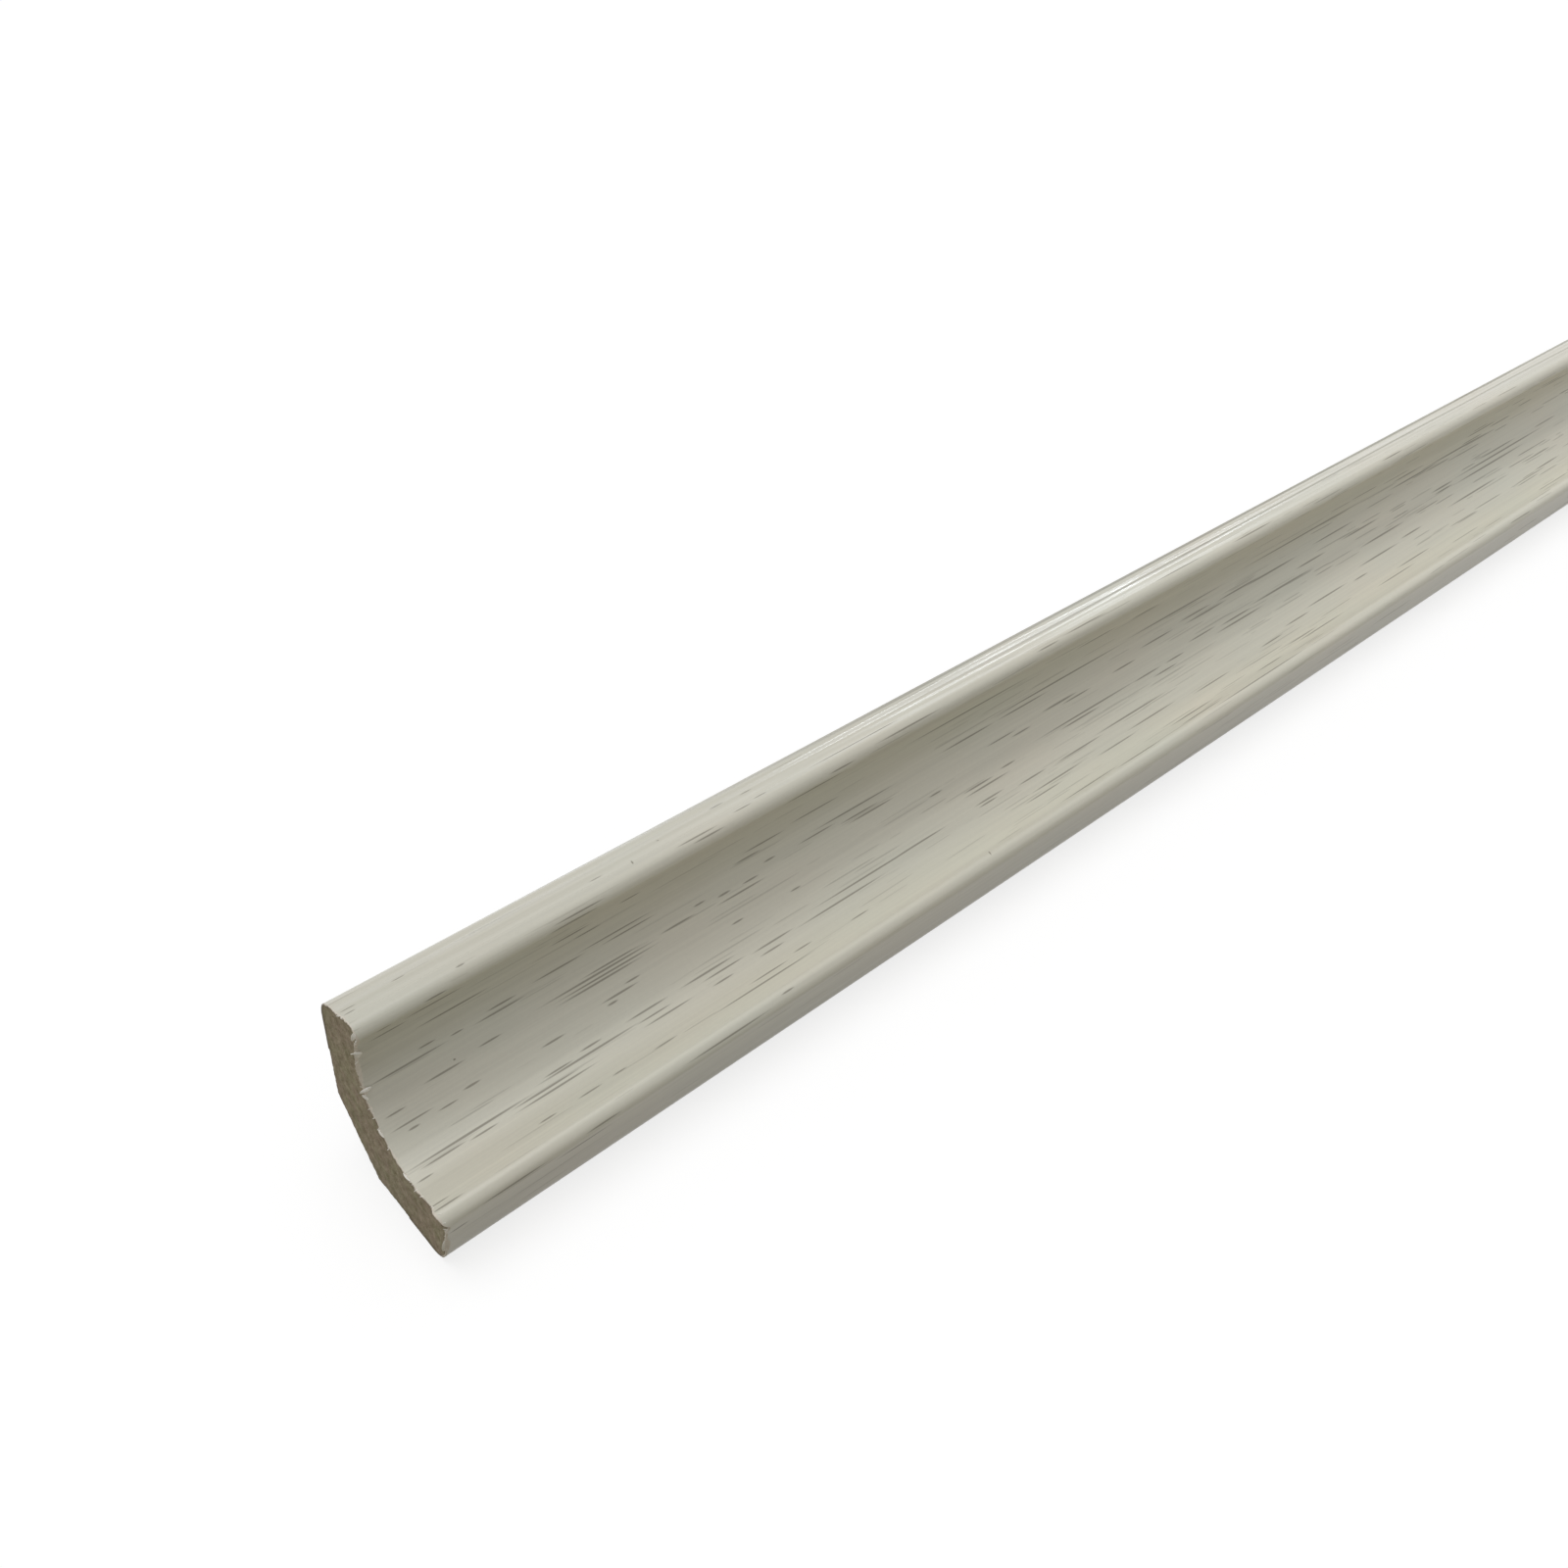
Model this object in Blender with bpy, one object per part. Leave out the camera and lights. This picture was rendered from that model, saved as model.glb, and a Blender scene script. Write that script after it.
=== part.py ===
"""Scotia moulding: one straight length of coved trim, lying on its floor leg.

The length runs along X. The wall leg stands at the back and faces +Y, the floor leg lies on Z = 0, and the
cove faces forwards and up. The origin is under the middle of the moulding's box. Sizes are in metres.

The section is the same read from the wall or from the floor: it is mirrored about the 45 degree line through
the back corner. It is drawn with "out", the distance from the wall face, and "up", the height off the floor.
"""

from math import atan2, cos, pi, radians, sin, sqrt

import bpy

# Length of the stock
LENGTH = 2.400
# Height of the section and its projection from the wall, which are equal
REACH = 0.018
# How much of each leg the flat across the back corner takes away
BACK_CHAMFER = 0.006
# Thickness at the middle, square to the flat across the back corner
THROAT = 0.00725
# From the wall face to the outer edge of the upper nose
NOSE_WIDTH = 0.0066
# Rounding of the nose, where the end face meets the cove
NOSE_RADIUS = 0.0010
# Rounding of the heel, where the end face meets the wall or the floor
HEEL_RADIUS = 0.0023
# How far the end faces lean out from square, in radians
END_SPLAY = radians(13)

# Straight pieces that stand for each rounding and for half of the cove
ROUNDING_STEPS = 8
COVE_STEPS = 20

FOIL_COLOUR = (0.56, 0.55, 0.48, 1.0)
FOIL_ROUGHNESS = 0.45

PART_NAME = "scotia_moulding"


def clear_scene():
    for old in list(bpy.data.objects):
        bpy.data.objects.remove(old, do_unlink=True)


def arc(centre, radius, start, end, steps):
    """Points on a round stretch, both ends included."""
    angles = [start + (end - start) * step / steps for step in range(steps + 1)]
    return [(centre[0] + radius * cos(a), centre[1] + radius * sin(a)) for a in angles]


def nose_centre():
    return NOSE_WIDTH - NOSE_RADIUS, REACH - NOSE_RADIUS


def cove_circle():
    """The circle centred on the 45 degree line that passes the throat and is tangent to both noses."""
    out, up = nose_centre()
    along = (out + up) / sqrt(2)
    corner_to_cove = BACK_CHAMFER / sqrt(2) + THROAT
    spare = along + NOSE_RADIUS - corner_to_cove
    across_squared = out**2 + up**2 - along**2
    radius = ((along - corner_to_cove) ** 2 + across_squared - NOSE_RADIUS**2) / (2 * spare)
    centre = (corner_to_cove + radius) / sqrt(2)
    return (centre, centre), radius


def heel_centre():
    """The rounding that is tangent to the wall face and to the leaning end face."""
    out, up = nose_centre()
    lean = (out - HEEL_RADIUS) * sin(END_SPLAY)
    drop = (HEEL_RADIUS - NOSE_RADIUS + lean) / cos(END_SPLAY)
    return HEEL_RADIUS, up - drop


def upper_half():
    """From the foot of the heel's rounding on the wall face, over the nose, to the middle of the cove."""
    heel, nose = heel_centre(), nose_centre()
    cove, cove_radius = cove_circle()
    end_face = pi / 2 + END_SPLAY
    nose_to_cove = atan2(cove[1] - nose[1], cove[0] - nose[0])
    points = arc(heel, HEEL_RADIUS, pi, end_face, ROUNDING_STEPS)
    points += arc(nose, NOSE_RADIUS, end_face, nose_to_cove, ROUNDING_STEPS)
    points += arc(cove, cove_radius, nose_to_cove + pi, 5 * pi / 4, COVE_STEPS)[1:]
    return points


def section():
    upper = upper_half()
    lower = [(up, out) for out, up in reversed(upper[:-1])]
    return [(0.0, BACK_CHAMFER)] + upper + lower + [(BACK_CHAMFER, 0.0)]


def foil_material():
    material = bpy.data.materials.new("decor_foil_on_mdf")
    material.use_nodes = True
    shader = material.node_tree.nodes["Principled BSDF"]
    shader.inputs["Base Color"].default_value = FOIL_COLOUR
    shader.inputs["Roughness"].default_value = FOIL_ROUGHNESS
    shader.inputs["Metallic"].default_value = 0.0
    material.diffuse_color = FOIL_COLOUR
    return material


def moulding(collection):
    """The section as a filled flat curve, extruded both ways from the middle of the length."""
    curve = bpy.data.curves.new(PART_NAME, "CURVE")
    curve.dimensions = "2D"
    curve.fill_mode = "BOTH"
    curve.extrude = LENGTH / 2
    points = section()
    outline = curve.splines.new("POLY")
    outline.points.add(len(points) - 1)
    for point, (out, up) in zip(outline.points, points):
        point.co = (REACH / 2 - out, up, 0.0, 1.0)
    outline.use_cyclic_u = True
    curve.materials.append(foil_material())
    stock = bpy.data.objects.new(PART_NAME, curve)
    # Turns the curve's X, Y and Z to the part's Y, Z and X
    stock.rotation_euler = (pi / 2, 0.0, pi / 2)
    collection.objects.link(stock)
    return stock


clear_scene()
parts = bpy.data.collections.new("Scotia moulding")
bpy.context.scene.collection.children.link(parts)
moulding(parts)
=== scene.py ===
"""Foil wrapped scotia moulding, seen close to its cut end. Sizes are in metres.

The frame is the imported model's: the length runs along X, the wall face looks to +Y and the floor
face lies on Z = 0. The section is drawn with "out", the distance from the wall face, and "up", the
height off the floor.
"""
from functools import partial
from math import atan2, pi, radians, sqrt

import bmesh
import bpy
import numpy as np
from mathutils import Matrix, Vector


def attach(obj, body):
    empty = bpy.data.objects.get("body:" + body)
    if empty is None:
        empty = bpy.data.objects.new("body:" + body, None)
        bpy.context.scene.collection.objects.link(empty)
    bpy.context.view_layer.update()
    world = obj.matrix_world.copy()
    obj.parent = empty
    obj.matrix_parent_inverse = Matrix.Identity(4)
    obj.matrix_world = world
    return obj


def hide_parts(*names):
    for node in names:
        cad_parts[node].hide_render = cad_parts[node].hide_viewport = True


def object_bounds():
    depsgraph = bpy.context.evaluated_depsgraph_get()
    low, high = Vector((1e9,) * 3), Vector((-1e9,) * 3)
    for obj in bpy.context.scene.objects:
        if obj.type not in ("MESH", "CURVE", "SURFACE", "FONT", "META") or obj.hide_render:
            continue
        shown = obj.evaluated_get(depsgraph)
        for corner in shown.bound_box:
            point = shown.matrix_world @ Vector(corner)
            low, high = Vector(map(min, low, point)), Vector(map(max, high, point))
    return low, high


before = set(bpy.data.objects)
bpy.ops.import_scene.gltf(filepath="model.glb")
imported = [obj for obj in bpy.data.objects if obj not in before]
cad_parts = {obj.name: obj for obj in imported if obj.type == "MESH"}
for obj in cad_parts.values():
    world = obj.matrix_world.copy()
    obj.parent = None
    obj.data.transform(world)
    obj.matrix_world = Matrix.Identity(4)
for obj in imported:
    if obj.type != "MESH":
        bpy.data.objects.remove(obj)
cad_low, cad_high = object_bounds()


# The fibreboard body: a strip of MDF moulded to the scotia's section, which is mirrored about its
# 45 degree line. It is sawn square at both ends, and bare there and on the back. The cut is olive
# brown and crumbly, with fibre clumps, faint saw lines, a browner rim and a chipped lower nose.
REACH = cad_high.z - cad_low.z
LEFT, RIGHT, WALL = cad_low.x, cad_high.x, cad_high.y
LENGTH = RIGHT - LEFT
BACK_CHAMFER = 0.0060
THROAT = 0.00725
NOSE_WIDTH, NOSE_RADIUS, HEEL_RADIUS = 0.0066, 0.0010, 0.0023
END_SPLAY = radians(13)
# How far the foil goes on past the heels, on the wall face and on the floor face
RETURN = 0.0040
FOIL_THICKNESS = 0.00016
# How far the sawn ends stand back from the box, which leaves room for what sticks out of the cut
SET_BACK = 0.00050
CORE_SAMPLES, CORE_COLUMNS, CORE_ROWS = 1400, 330, 44
MERGE_DISTANCE = 4e-7
# Random heights repeat after this many cells each way
LATTICE = (257, 263)
# The sawn face: fibre clumps and finer crumbs, then the saw lines' spacing over 2 pi, the direction
# square to them and their depth, then how far in and down from the lower nose its chip is, the
# chip's half width and its depth
CLUMP_CELL, CLUMP_HEIGHT = 0.00042, 0.00002
CRUMB_CELL, CRUMB_HEIGHT = 0.00018, 0.000016
SAW_SPACING, SAW_WAY, SAW_DEPTH = 0.00034, (0.94, 0.34), 0.000008
CHIP_IN, CHIP_DOWN, CHIP_HALF_WIDTH, CHIP_DEPTH = 0.0004, 0.0013, 0.0005, 0.0010
# How fast the browner rim of the cut fades inwards, and how brown the long sides are
RIM_WIDTH, SIDES_BROWN = 0.00022, 0.35
MDF_DARK, MDF_PALE = (0.246, 0.208, 0.142, 1.0), (0.505, 0.441, 0.332, 1.0)
MDF_GREENER, MDF_REDDER = (0.87, 1.01, 0.83, 1.0), (1.13, 0.99, 1.13, 1.0)
MDF_RIM = (0.150, 0.118, 0.076, 1.0)
# A piece is painted on its map in this many lengths, one above the other, a margin off its sides
MAP_ROWS, MAP_MARGIN = 8, 0.002
# The cuts fill the upper half of the core's map: their scale, and a corner of each. The long sides
# fill the lower half: the start and the height of the hidden front and of the back in a row
CUT_SCALE, CUT_CORNERS = 0.48, ((0.01, 0.51), (0.51, 0.51))
FRONT_STRIP, BACK_STRIP = (0.90, 0.07), (0.04, 0.82)


def arc(centre, radius, start, end, count=240):
    """Points and outward directions on a round stretch: the centre plus the radius times (cosine,
    sine) of an angle that runs evenly from start to end. A negative radius stands for a hollow
    stretch, whose directions point in."""
    angle = np.linspace(start, end, count)
    ray = np.column_stack([np.cos(angle), np.sin(angle)])
    return centre + abs(radius) * ray, ray * np.sign(radius)


def wrapped_line(count, inset=0.0):
    """The line that the foil follows, from its edge on the wall face over both noses to its edge on
    the floor face. It is a chain of tangent arcs and straights, sampled at even steps of the
    distance round it. Each point then moves in by the inset, against its own outward direction.
    Gives (out, up), the directions and the distances."""
    nose = np.array([NOSE_WIDTH - NOSE_RADIUS, REACH - NOSE_RADIUS])
    along = nose.sum() / sqrt(2)
    corner_to_cove = BACK_CHAMFER / sqrt(2) + THROAT
    across_squared = nose @ nose - along**2
    spare = along + NOSE_RADIUS - corner_to_cove
    radius = ((along - corner_to_cove) ** 2 + across_squared - NOSE_RADIUS**2) / (2 * spare)
    cove = np.full(2, (corner_to_cove + radius) / sqrt(2))
    lean = (nose[0] - HEEL_RADIUS) * np.sin(END_SPLAY)
    drop = (HEEL_RADIUS - NOSE_RADIUS + lean) / np.cos(END_SPLAY)
    heel = np.array([HEEL_RADIUS, nose[1] - drop])
    face, turn = pi / 2 + END_SPLAY, atan2(*(cove - nose)[::-1])
    start = (np.array([[0.0, heel[1] - RETURN]]), np.array([[-1.0, 0.0]]))
    stretches = [start, arc(heel, HEEL_RADIUS, pi, face), arc(nose, NOSE_RADIUS, face, turn)]
    stretches.append(arc(cove, -radius, turn + pi, 5 * pi / 4))
    point, facing = (np.vstack([s[k] for s in stretches]) for k in (0, 1))
    point, facing = (np.vstack([a, a[-2::-1, ::-1]]) for a in (point, facing))
    girth = np.concatenate([[0.0], np.cumsum(np.hypot(*np.diff(point, axis=0).T))])
    even = np.linspace(0.0, girth[-1], count)
    point, facing = (np.column_stack([np.interp(even, girth, a[:, k]) for k in (0, 1)])
                     for a in (point, facing))
    facing /= np.hypot(*facing.T)[:, None]
    return point - inset * facing, facing, even


def resampled(line, count):
    """The same broken line with points at even steps along it."""
    run = np.concatenate([[0.0], np.cumsum(np.hypot(*np.diff(line, axis=0).T))])
    even = np.linspace(0.0, run[-1], count)
    return np.column_stack([np.interp(even, run, line[:, k]) for k in (0, 1)])


def lumps(a, b, cell, seed):
    """Soft random height between -1 and 1 at the points (a, b): random values on a square lattice
    of that cell, blended between the four nearest with an S curve."""
    ga, gb = a / cell, b / cell
    ia, ib = np.floor(ga).astype(int), np.floor(gb).astype(int)
    sa, sb = (s * s * (3 - 2 * s) for s in (ga - ia, gb - ib))
    table = np.random.default_rng(seed).uniform(-1, 1, LATTICE)
    first, second, third, fourth = (table[(ia + i) % LATTICE[0], (ib + j) % LATTICE[1]]
                                    for i, j in ((0, 0), (1, 0), (0, 1), (1, 1)))
    return (first * (1 - sa) + second * sa) * (1 - sb) + (third * (1 - sa) + fourth * sa) * sb


def cells(grid):
    """The four corners of every cell of a grid of point numbers, as faces."""
    return np.stack([grid[:-1, :-1], grid[:-1, 1:], grid[1:, 1:], grid[1:, :-1]], -1).reshape(-1, 4)


def placed(x, section):
    """Points in the frame from x along the length and (out, up) in the section."""
    x, out, up = np.broadcast_arrays(x, section[..., 0], section[..., 1])
    return np.stack([x, WALL - out, up], -1)


def in_rows(x, share, height):
    """Places on a square map for faces that are given by their corners' x and share of a row.
    Across is the corner's run in its row, and up is the face's row number plus the share, times
    the height of one row."""
    run = (x - LEFT) / LENGTH * MAP_ROWS
    row = np.clip(np.floor(run.mean(-1, keepdims=True)), 0, MAP_ROWS - 1)
    return np.stack([MAP_MARGIN + (1 - 2 * MAP_MARGIN) * (run - row), (row + share) * height], -1)


def in_scene(name, data):
    """A new object at the origin."""
    thing = bpy.data.objects.new(name, data)
    bpy.context.scene.collection.objects.link(thing)
    return thing


def piece(name, points, faces, sharp, material, maps):
    """A closed mesh with each map's (u, v) at its face corners. Doubled points are merged, all
    faces turned outwards, and edges that bend by more than the sharp angle stay crisp."""
    mesh = bpy.data.meshes.new(name)
    mesh.from_pydata(points.reshape(-1, 3).tolist(), [], faces.tolist())
    for label, corners in maps.items():
        mesh.uv_layers.new(name=label).data.foreach_set("uv", corners.astype(np.float32).ravel())
    work = bmesh.new()
    work.from_mesh(mesh)
    bmesh.ops.remove_doubles(work, verts=work.verts, dist=MERGE_DISTANCE)
    bmesh.ops.recalc_face_normals(work, faces=work.faces)
    work.to_mesh(mesh)
    work.free()
    mesh.polygons.foreach_set("use_smooth", np.ones(len(mesh.polygons), bool))
    mesh.set_sharp_from_angle(angle=radians(sharp))
    mesh.materials.append(material)
    thing = in_scene(name, mesh)
    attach(thing, "root")
    return thing


def finish_of(name):
    """An empty material and its shader."""
    material = bpy.data.materials.new(name)
    material.use_nodes = True
    return material, material.node_tree.nodes["Principled BSDF"]


def fill(owner, made, inputs):
    """Gives each named input of a node a value, or joins it to another node's output."""
    for socket, value in inputs.items():
        if isinstance(value, bpy.types.NodeSocket):
            owner.node_tree.links.new(value, made.inputs[socket])
        else:
            made.inputs[socket].default_value = value


def node(owner, kind, inputs=None, **settings):
    """A shader node with its settings and its filled inputs."""
    made = owner.node_tree.nodes.new("ShaderNode" + kind)
    for name, value in settings.items():
        setattr(made, name, value)
    fill(owner, made, inputs or {})
    return made


def blend(owner, share, first, second, kind="MIX"):
    """A colour between two colours, by the share of the second."""
    inputs = {0: share, 6: first, 7: second}
    return node(owner, "Mix", inputs, data_type="RGBA", blend_type=kind).outputs[2]


def solid_noise(owner, where, cells_to_metre, detail, rough=0.5):
    """Noise right through the piece, in its Object coordinates."""
    inputs = {"Vector": where, "Scale": cells_to_metre, "Detail": detail, "Roughness": rough}
    return node(owner, "TexNoise", inputs).outputs[0]


board, shader = finish_of("bare_mdf")
where = node(board, "TexCoord").outputs["Object"]
fibres = solid_noise(board, where, 9000.0, detail=3.0, rough=0.75)
clumps = solid_noise(board, where, 1500.0, detail=3.0, rough=0.6)
cloud = solid_noise(board, where, 620.0, detail=2.0)
tone = node(board, "Mix", {0: 0.42, "A": clumps, "B": fibres}).outputs[0]
ramp = node(board, "ValToRGB", {0: tone})
for stop, place, colour in zip(ramp.color_ramp.elements, (0.36, 0.64), (MDF_DARK, MDF_PALE)):
    stop.position, stop.color = place, colour
tint = blend(board, cloud, MDF_GREENER, MDF_REDDER)
sawdust = blend(board, 1.0, ramp.outputs[0], tint, "MULTIPLY")
# The rim of the cut is darker and browner: the map's first value is 1 at the edge and falls inwards
cut_place = node(board, "UVMap", uv_map="cut").outputs[0]
rim = node(board, "SeparateXYZ", {0: cut_place}).outputs[0]
browner = node(board, "Math", {0: rim, 1: 0.75}, operation="MULTIPLY").outputs[0]
rim_browner = blend(board, browner, sawdust, MDF_RIM)
relief = node(board, "Bump", {"Height": tone, "Strength": 0.9, "Distance": 0.00008}).outputs[0]
fill(board, shader, {"Base Color": rim_browner, "Roughness": 0.92, "Specular IOR Level": 0.25,
                     "Normal": relief})

# The cut is a grid between the line under the foil, from heel to heel, and the line of the back
front, facing, _ = wrapped_line(CORE_SAMPLES, FOIL_THICKNESS)
heel_mid = int(np.argmax(facing[:CORE_SAMPLES // 2] @ np.array([-1.0, 1.0])))
across = resampled(front[heel_mid:-heel_mid], CORE_COLUMNS)
chamfer = (BACK_CHAMFER - 2 * FOIL_THICKNESS) * np.array([[0.0, 1.0], [1.0, 0.0]]) + FOIL_THICKNESS
behind = np.vstack([front[heel_mid::-1], chamfer, front[:heel_mid + 1, ::-1]])
behind = resampled(behind, CORE_COLUMNS)
share = np.linspace(0.0, 1.0, CORE_ROWS)[:, None]
sawn = across * (1 - share[..., None]) + behind * share[..., None]


def sawn_depth(section, seed):
    """How deep the cut lies at each point: clumps and crumbs, straight saw lines that lean across
    the section, and a chip under the lower nose's foil, which fades as e to the minus square of
    the distance from it over its half width."""
    out, up = section[..., 0], section[..., 1]
    depth = CLUMP_HEIGHT * lumps(out, up, CLUMP_CELL, seed)
    depth = depth + CRUMB_HEIGHT * lumps(out, up, CRUMB_CELL, seed + 1)
    depth += SAW_DEPTH * np.sin((SAW_WAY[0] * out + SAW_WAY[1] * up) / SAW_SPACING)
    away = np.hypot(out - REACH + CHIP_IN, up - NOSE_WIDTH + CHIP_DOWN) / CHIP_HALF_WIDTH
    return depth + CHIP_DEPTH * np.exp(-away**2)


near_cut = LEFT + SET_BACK + sawn_depth(sawn, seed=3)
far_cut = RIGHT - SET_BACK - sawn_depth(sawn, seed=7)
cuts = np.stack([placed(x, sawn) for x in (near_cut, far_cut)])
stations = np.linspace(LEFT, RIGHT, MAP_ROWS + 1)
sides = placed(stations[:, None, None], sawn[[0, -1]][None])
sides[0], sides[-1] = cuts[0][[0, -1]], cuts[1][[0, -1]]
cut_numbers = np.arange(cuts[..., 0].size).reshape(cuts.shape[:3])
side_numbers = cut_numbers.size + np.arange(sides[..., 0].size).reshape(sides.shape[:3])
core_points = np.vstack([cuts.reshape(-1, 3), sides.reshape(-1, 3)])
cut_faces = np.vstack([cells(numbers) for numbers in cut_numbers])
side_faces = np.vstack([cells(side_numbers[:, k]) for k in (0, 1)])
core_faces = np.vstack([cut_faces, side_faces])
wide = np.hypot(*(across - behind).T)
rim_share = np.exp(-np.minimum(share, 1 - share) * wide / RIM_WIDTH)
rims = np.concatenate([np.tile(rim_share.ravel(), 2), np.full(sides[..., 0].size, SIDES_BROWN)])
cut_map = np.column_stack([rims, 0 * rims])[core_faces.ravel()]
flat = np.stack([sawn / REACH * CUT_SCALE + corner for corner in CUT_CORNERS]).reshape(-1, 2)
column = np.linspace(0.0, 1.0, CORE_COLUMNS)
strips = np.stack([start + height * column for start, height in (FRONT_STRIP, BACK_STRIP)])
side_share = np.tile(strips, (MAP_ROWS + 1, 1, 1)).ravel()[side_faces - cut_numbers.size]
side_map = in_rows(core_points[side_faces, 0], side_share, 0.5 / MAP_ROWS).reshape(-1, 2)
core_bake = np.vstack([flat[cut_faces.ravel()], side_map])
core = piece("mdf_core", core_points, core_faces, 35, board, {"cut": cut_map, "OFBake": core_bake})
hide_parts("scotia_moulding")


# The decor foil: a printed sheet glued round the body's front in one go, from a strip of the wall
# face over both noses to a strip of the floor face. The print is a pale ash with fine broken pores.
# The saw has left its edge proud of the board, ragged and thickened, with its pale paper showing.
GIRTH_COLUMNS, LIP_ROWS = 470, 5
# Distances behind the torn edge at which the sheet has a row of points
EDGE_STEPS = np.array([0.0, 0.03, 0.07, 0.13, 0.22, 0.36, 0.6, 1.0, 1.8, 3.2]) / 1000
LIP_BULGE = 0.00003
# The paper starts to show this far round from the sheet's long edges, and shows in full past a fade
PAPER_FROM, PAPER_FADE = 0.0050, 0.0016
# How far the near and the far edge stand proud, and how wide they are chipped, with the limits
PROUD_NEAR, PROUD_FAR, PROUD_LIMITS = 0.00003, 0.00006, (-0.00030, SET_BACK - 0.00004)
CHIPPED_NEAR, CHIPPED_FAR, CHIPPED_LIMITS = 0.00005, 0.00008, (0.00002, 0.00060)
WAVE_SIZE, WAVE_CELLS, ON_RETURNS = 0.00003, (0.0011, 0.00042, 0.00017), 0.00001
# Places round the near edge's girth, half lengths and sizes, in millimetres: where the foil stands
# out over the cut, or is broken back from it, and where the saw has chipped the print off the paper
PROUD_PLACES = np.array([
    [13.6, 0.9, 0.10], [16.6, 1.6, 0.13], [20.3, 0.4, 0.07], [24.6, 0.5, 0.05], [28.2, 0.4, 0.06],
    [31.8, 1.0, 0.42], [33.5, 0.35, -0.34], [35.9, 0.8, 0.10],
]) / 1000
CHIPPED_PLACES = np.array([
    [9.0, 1.0, 0.03], [13.0, 0.8, 0.30], [14.6, 0.5, 0.36], [16.6, 1.4, 0.26], [18.7, 0.3, 0.30],
    [20.3, 0.5, 0.13], [24.7, 0.4, 0.10], [28.3, 0.4, 0.09], [32.0, 0.8, 0.16], [36.0, 0.9, 0.40],
]) / 1000
# How far what is made stays inside the CAD's box
BOX_MARGIN = 1e-6
# On the foil's map, the places in a row of the sheet's outline: over the front, round an edge, back
# on the glued side and round the other edge. Above all rows come the two lips, side by side
OUTLINE_IN_ROW, ROWS_HEIGHT = (0.01, 0.90, 0.91, 0.97, 0.98), 0.96
LIP_STARTS, LIP_SPREAD, LIP_FOOT, LIP_HEIGHT = (0.01, 0.51), 0.48, 0.965, 0.03


def bell(girth, places):
    """The sum of soft bumps: each size times e to the minus square of the distance over the half
    length."""
    return (places[:, 2:] * np.exp(-((girth - places[:, :1]) / places[:, 1:2]) ** 2)).sum(0)


def shown(girth):
    """1 on the front and 0 on the two returns, with a smooth step over the heels."""
    inside = np.minimum(girth, girth[-1] - girth)
    step = np.clip((inside - PAPER_FROM) / PAPER_FADE, 0.0, 1.0)
    return step * step * (3 - 2 * step)


def ragged(girth, level, seed):
    """A torn line round the girth: the level with random waves of three lengths, each read off one
    row of its lattice, and nearly nothing on the returns."""
    row = np.full_like(girth, 0.1)
    waves = sum(WAVE_SIZE * lumps(girth, row, cell, seed + k) for k, cell in enumerate(WAVE_CELLS))
    return ON_RETURNS + shown(girth) * (level + waves)


def inside_box(points):
    """The points, each held a margin inside the CAD's box."""
    return np.clip(points, np.array(cad_low) + BOX_MARGIN, np.array(cad_high) - BOX_MARGIN)


outer, outward, girth = wrapped_line(GIRTH_COLUMNS)
uneven = 1.0 + 0.35 * lumps(girth, girth, cell=0.0008, seed=23)
uneven = uneven + 0.3 * lumps(girth, girth, cell=0.0003, seed=24)
lip_depths = np.tile(FOIL_THICKNESS * np.clip(uneven, 0.5, 2.0), (2, 1))
proud = np.stack([ragged(girth, PROUD_NEAR + bell(girth, PROUD_PLACES), seed=11),
                  ragged(girth, PROUD_FAR, seed=17)])
proud = np.clip(proud, *PROUD_LIMITS)
chipped = np.stack([ragged(girth, CHIPPED_NEAR + bell(girth, CHIPPED_PLACES), seed=31),
                    ragged(girth, CHIPPED_FAR, seed=37)])
chipped = np.clip(chipped, *CHIPPED_LIMITS)
edges = np.stack([LEFT + SET_BACK - proud[0], RIGHT - SET_BACK + proud[1]])
fade = 1 - EDGE_STEPS[:, None] / EDGE_STEPS[-1]
near = LEFT + SET_BACK + EDGE_STEPS[:, None] + fade * (edges[0] - LEFT - SET_BACK)
far = RIGHT - SET_BACK - EDGE_STEPS[:, None] + fade * (edges[1] - RIGHT + SET_BACK)
middle = np.repeat(stations[1:-1, None], GIRTH_COLUMNS, 1)
length = np.vstack([near, middle, far[::-1]])
depth = np.full_like(length, FOIL_THICKNESS)
depth[[0, -1]] = lip_depths
# The sheet's outline goes over the front, down its long edge, back on the glued side and up again
roll = np.linspace(0.0, 1.0, LIP_ROWS + 2)
last = GIRTH_COLUMNS - 1
column = np.concatenate([np.arange(last + 1), np.full(LIP_ROWS, last), np.arange(last, -1, -1),
                         np.zeros(LIP_ROWS + 1, int)])
inner = np.concatenate([np.zeros(last + 1), roll[1:-1], np.ones(last + 1), roll[-2::-1]])
sunk = (inner * depth[:, column])[..., None] * outward[column]
shell = placed(length[:, column], outer[column] - sunk)
# A lip closes each torn edge with a bulge, which is nil at the long edges
taper = np.ones(GIRTH_COLUMNS)
taper[[0, -1]] = 0.0
bulge = LIP_BULGE * np.sin(pi * roll)[:, None] * taper
lips = [placed(edge + way * bulge, outer - (roll[:, None] * lip)[..., None] * outward)
        for edge, lip, way in zip(edges, lip_depths, (-1, 1))]
points = inside_box(np.vstack([part.reshape(-1, 3) for part in (shell, *lips)]))
shell_numbers = np.arange(shell[..., 0].size).reshape(shell.shape[:2])
lip_numbers = np.arange(2 * lips[0][..., 0].size).reshape(2, LIP_ROWS + 2, GIRTH_COLUMNS)
lip_numbers = shell_numbers.size + lip_numbers
shell_faces, lip_faces = cells(shell_numbers), np.vstack([cells(n) for n in lip_numbers])
faces = np.vstack([shell_faces, lip_faces])
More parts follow.
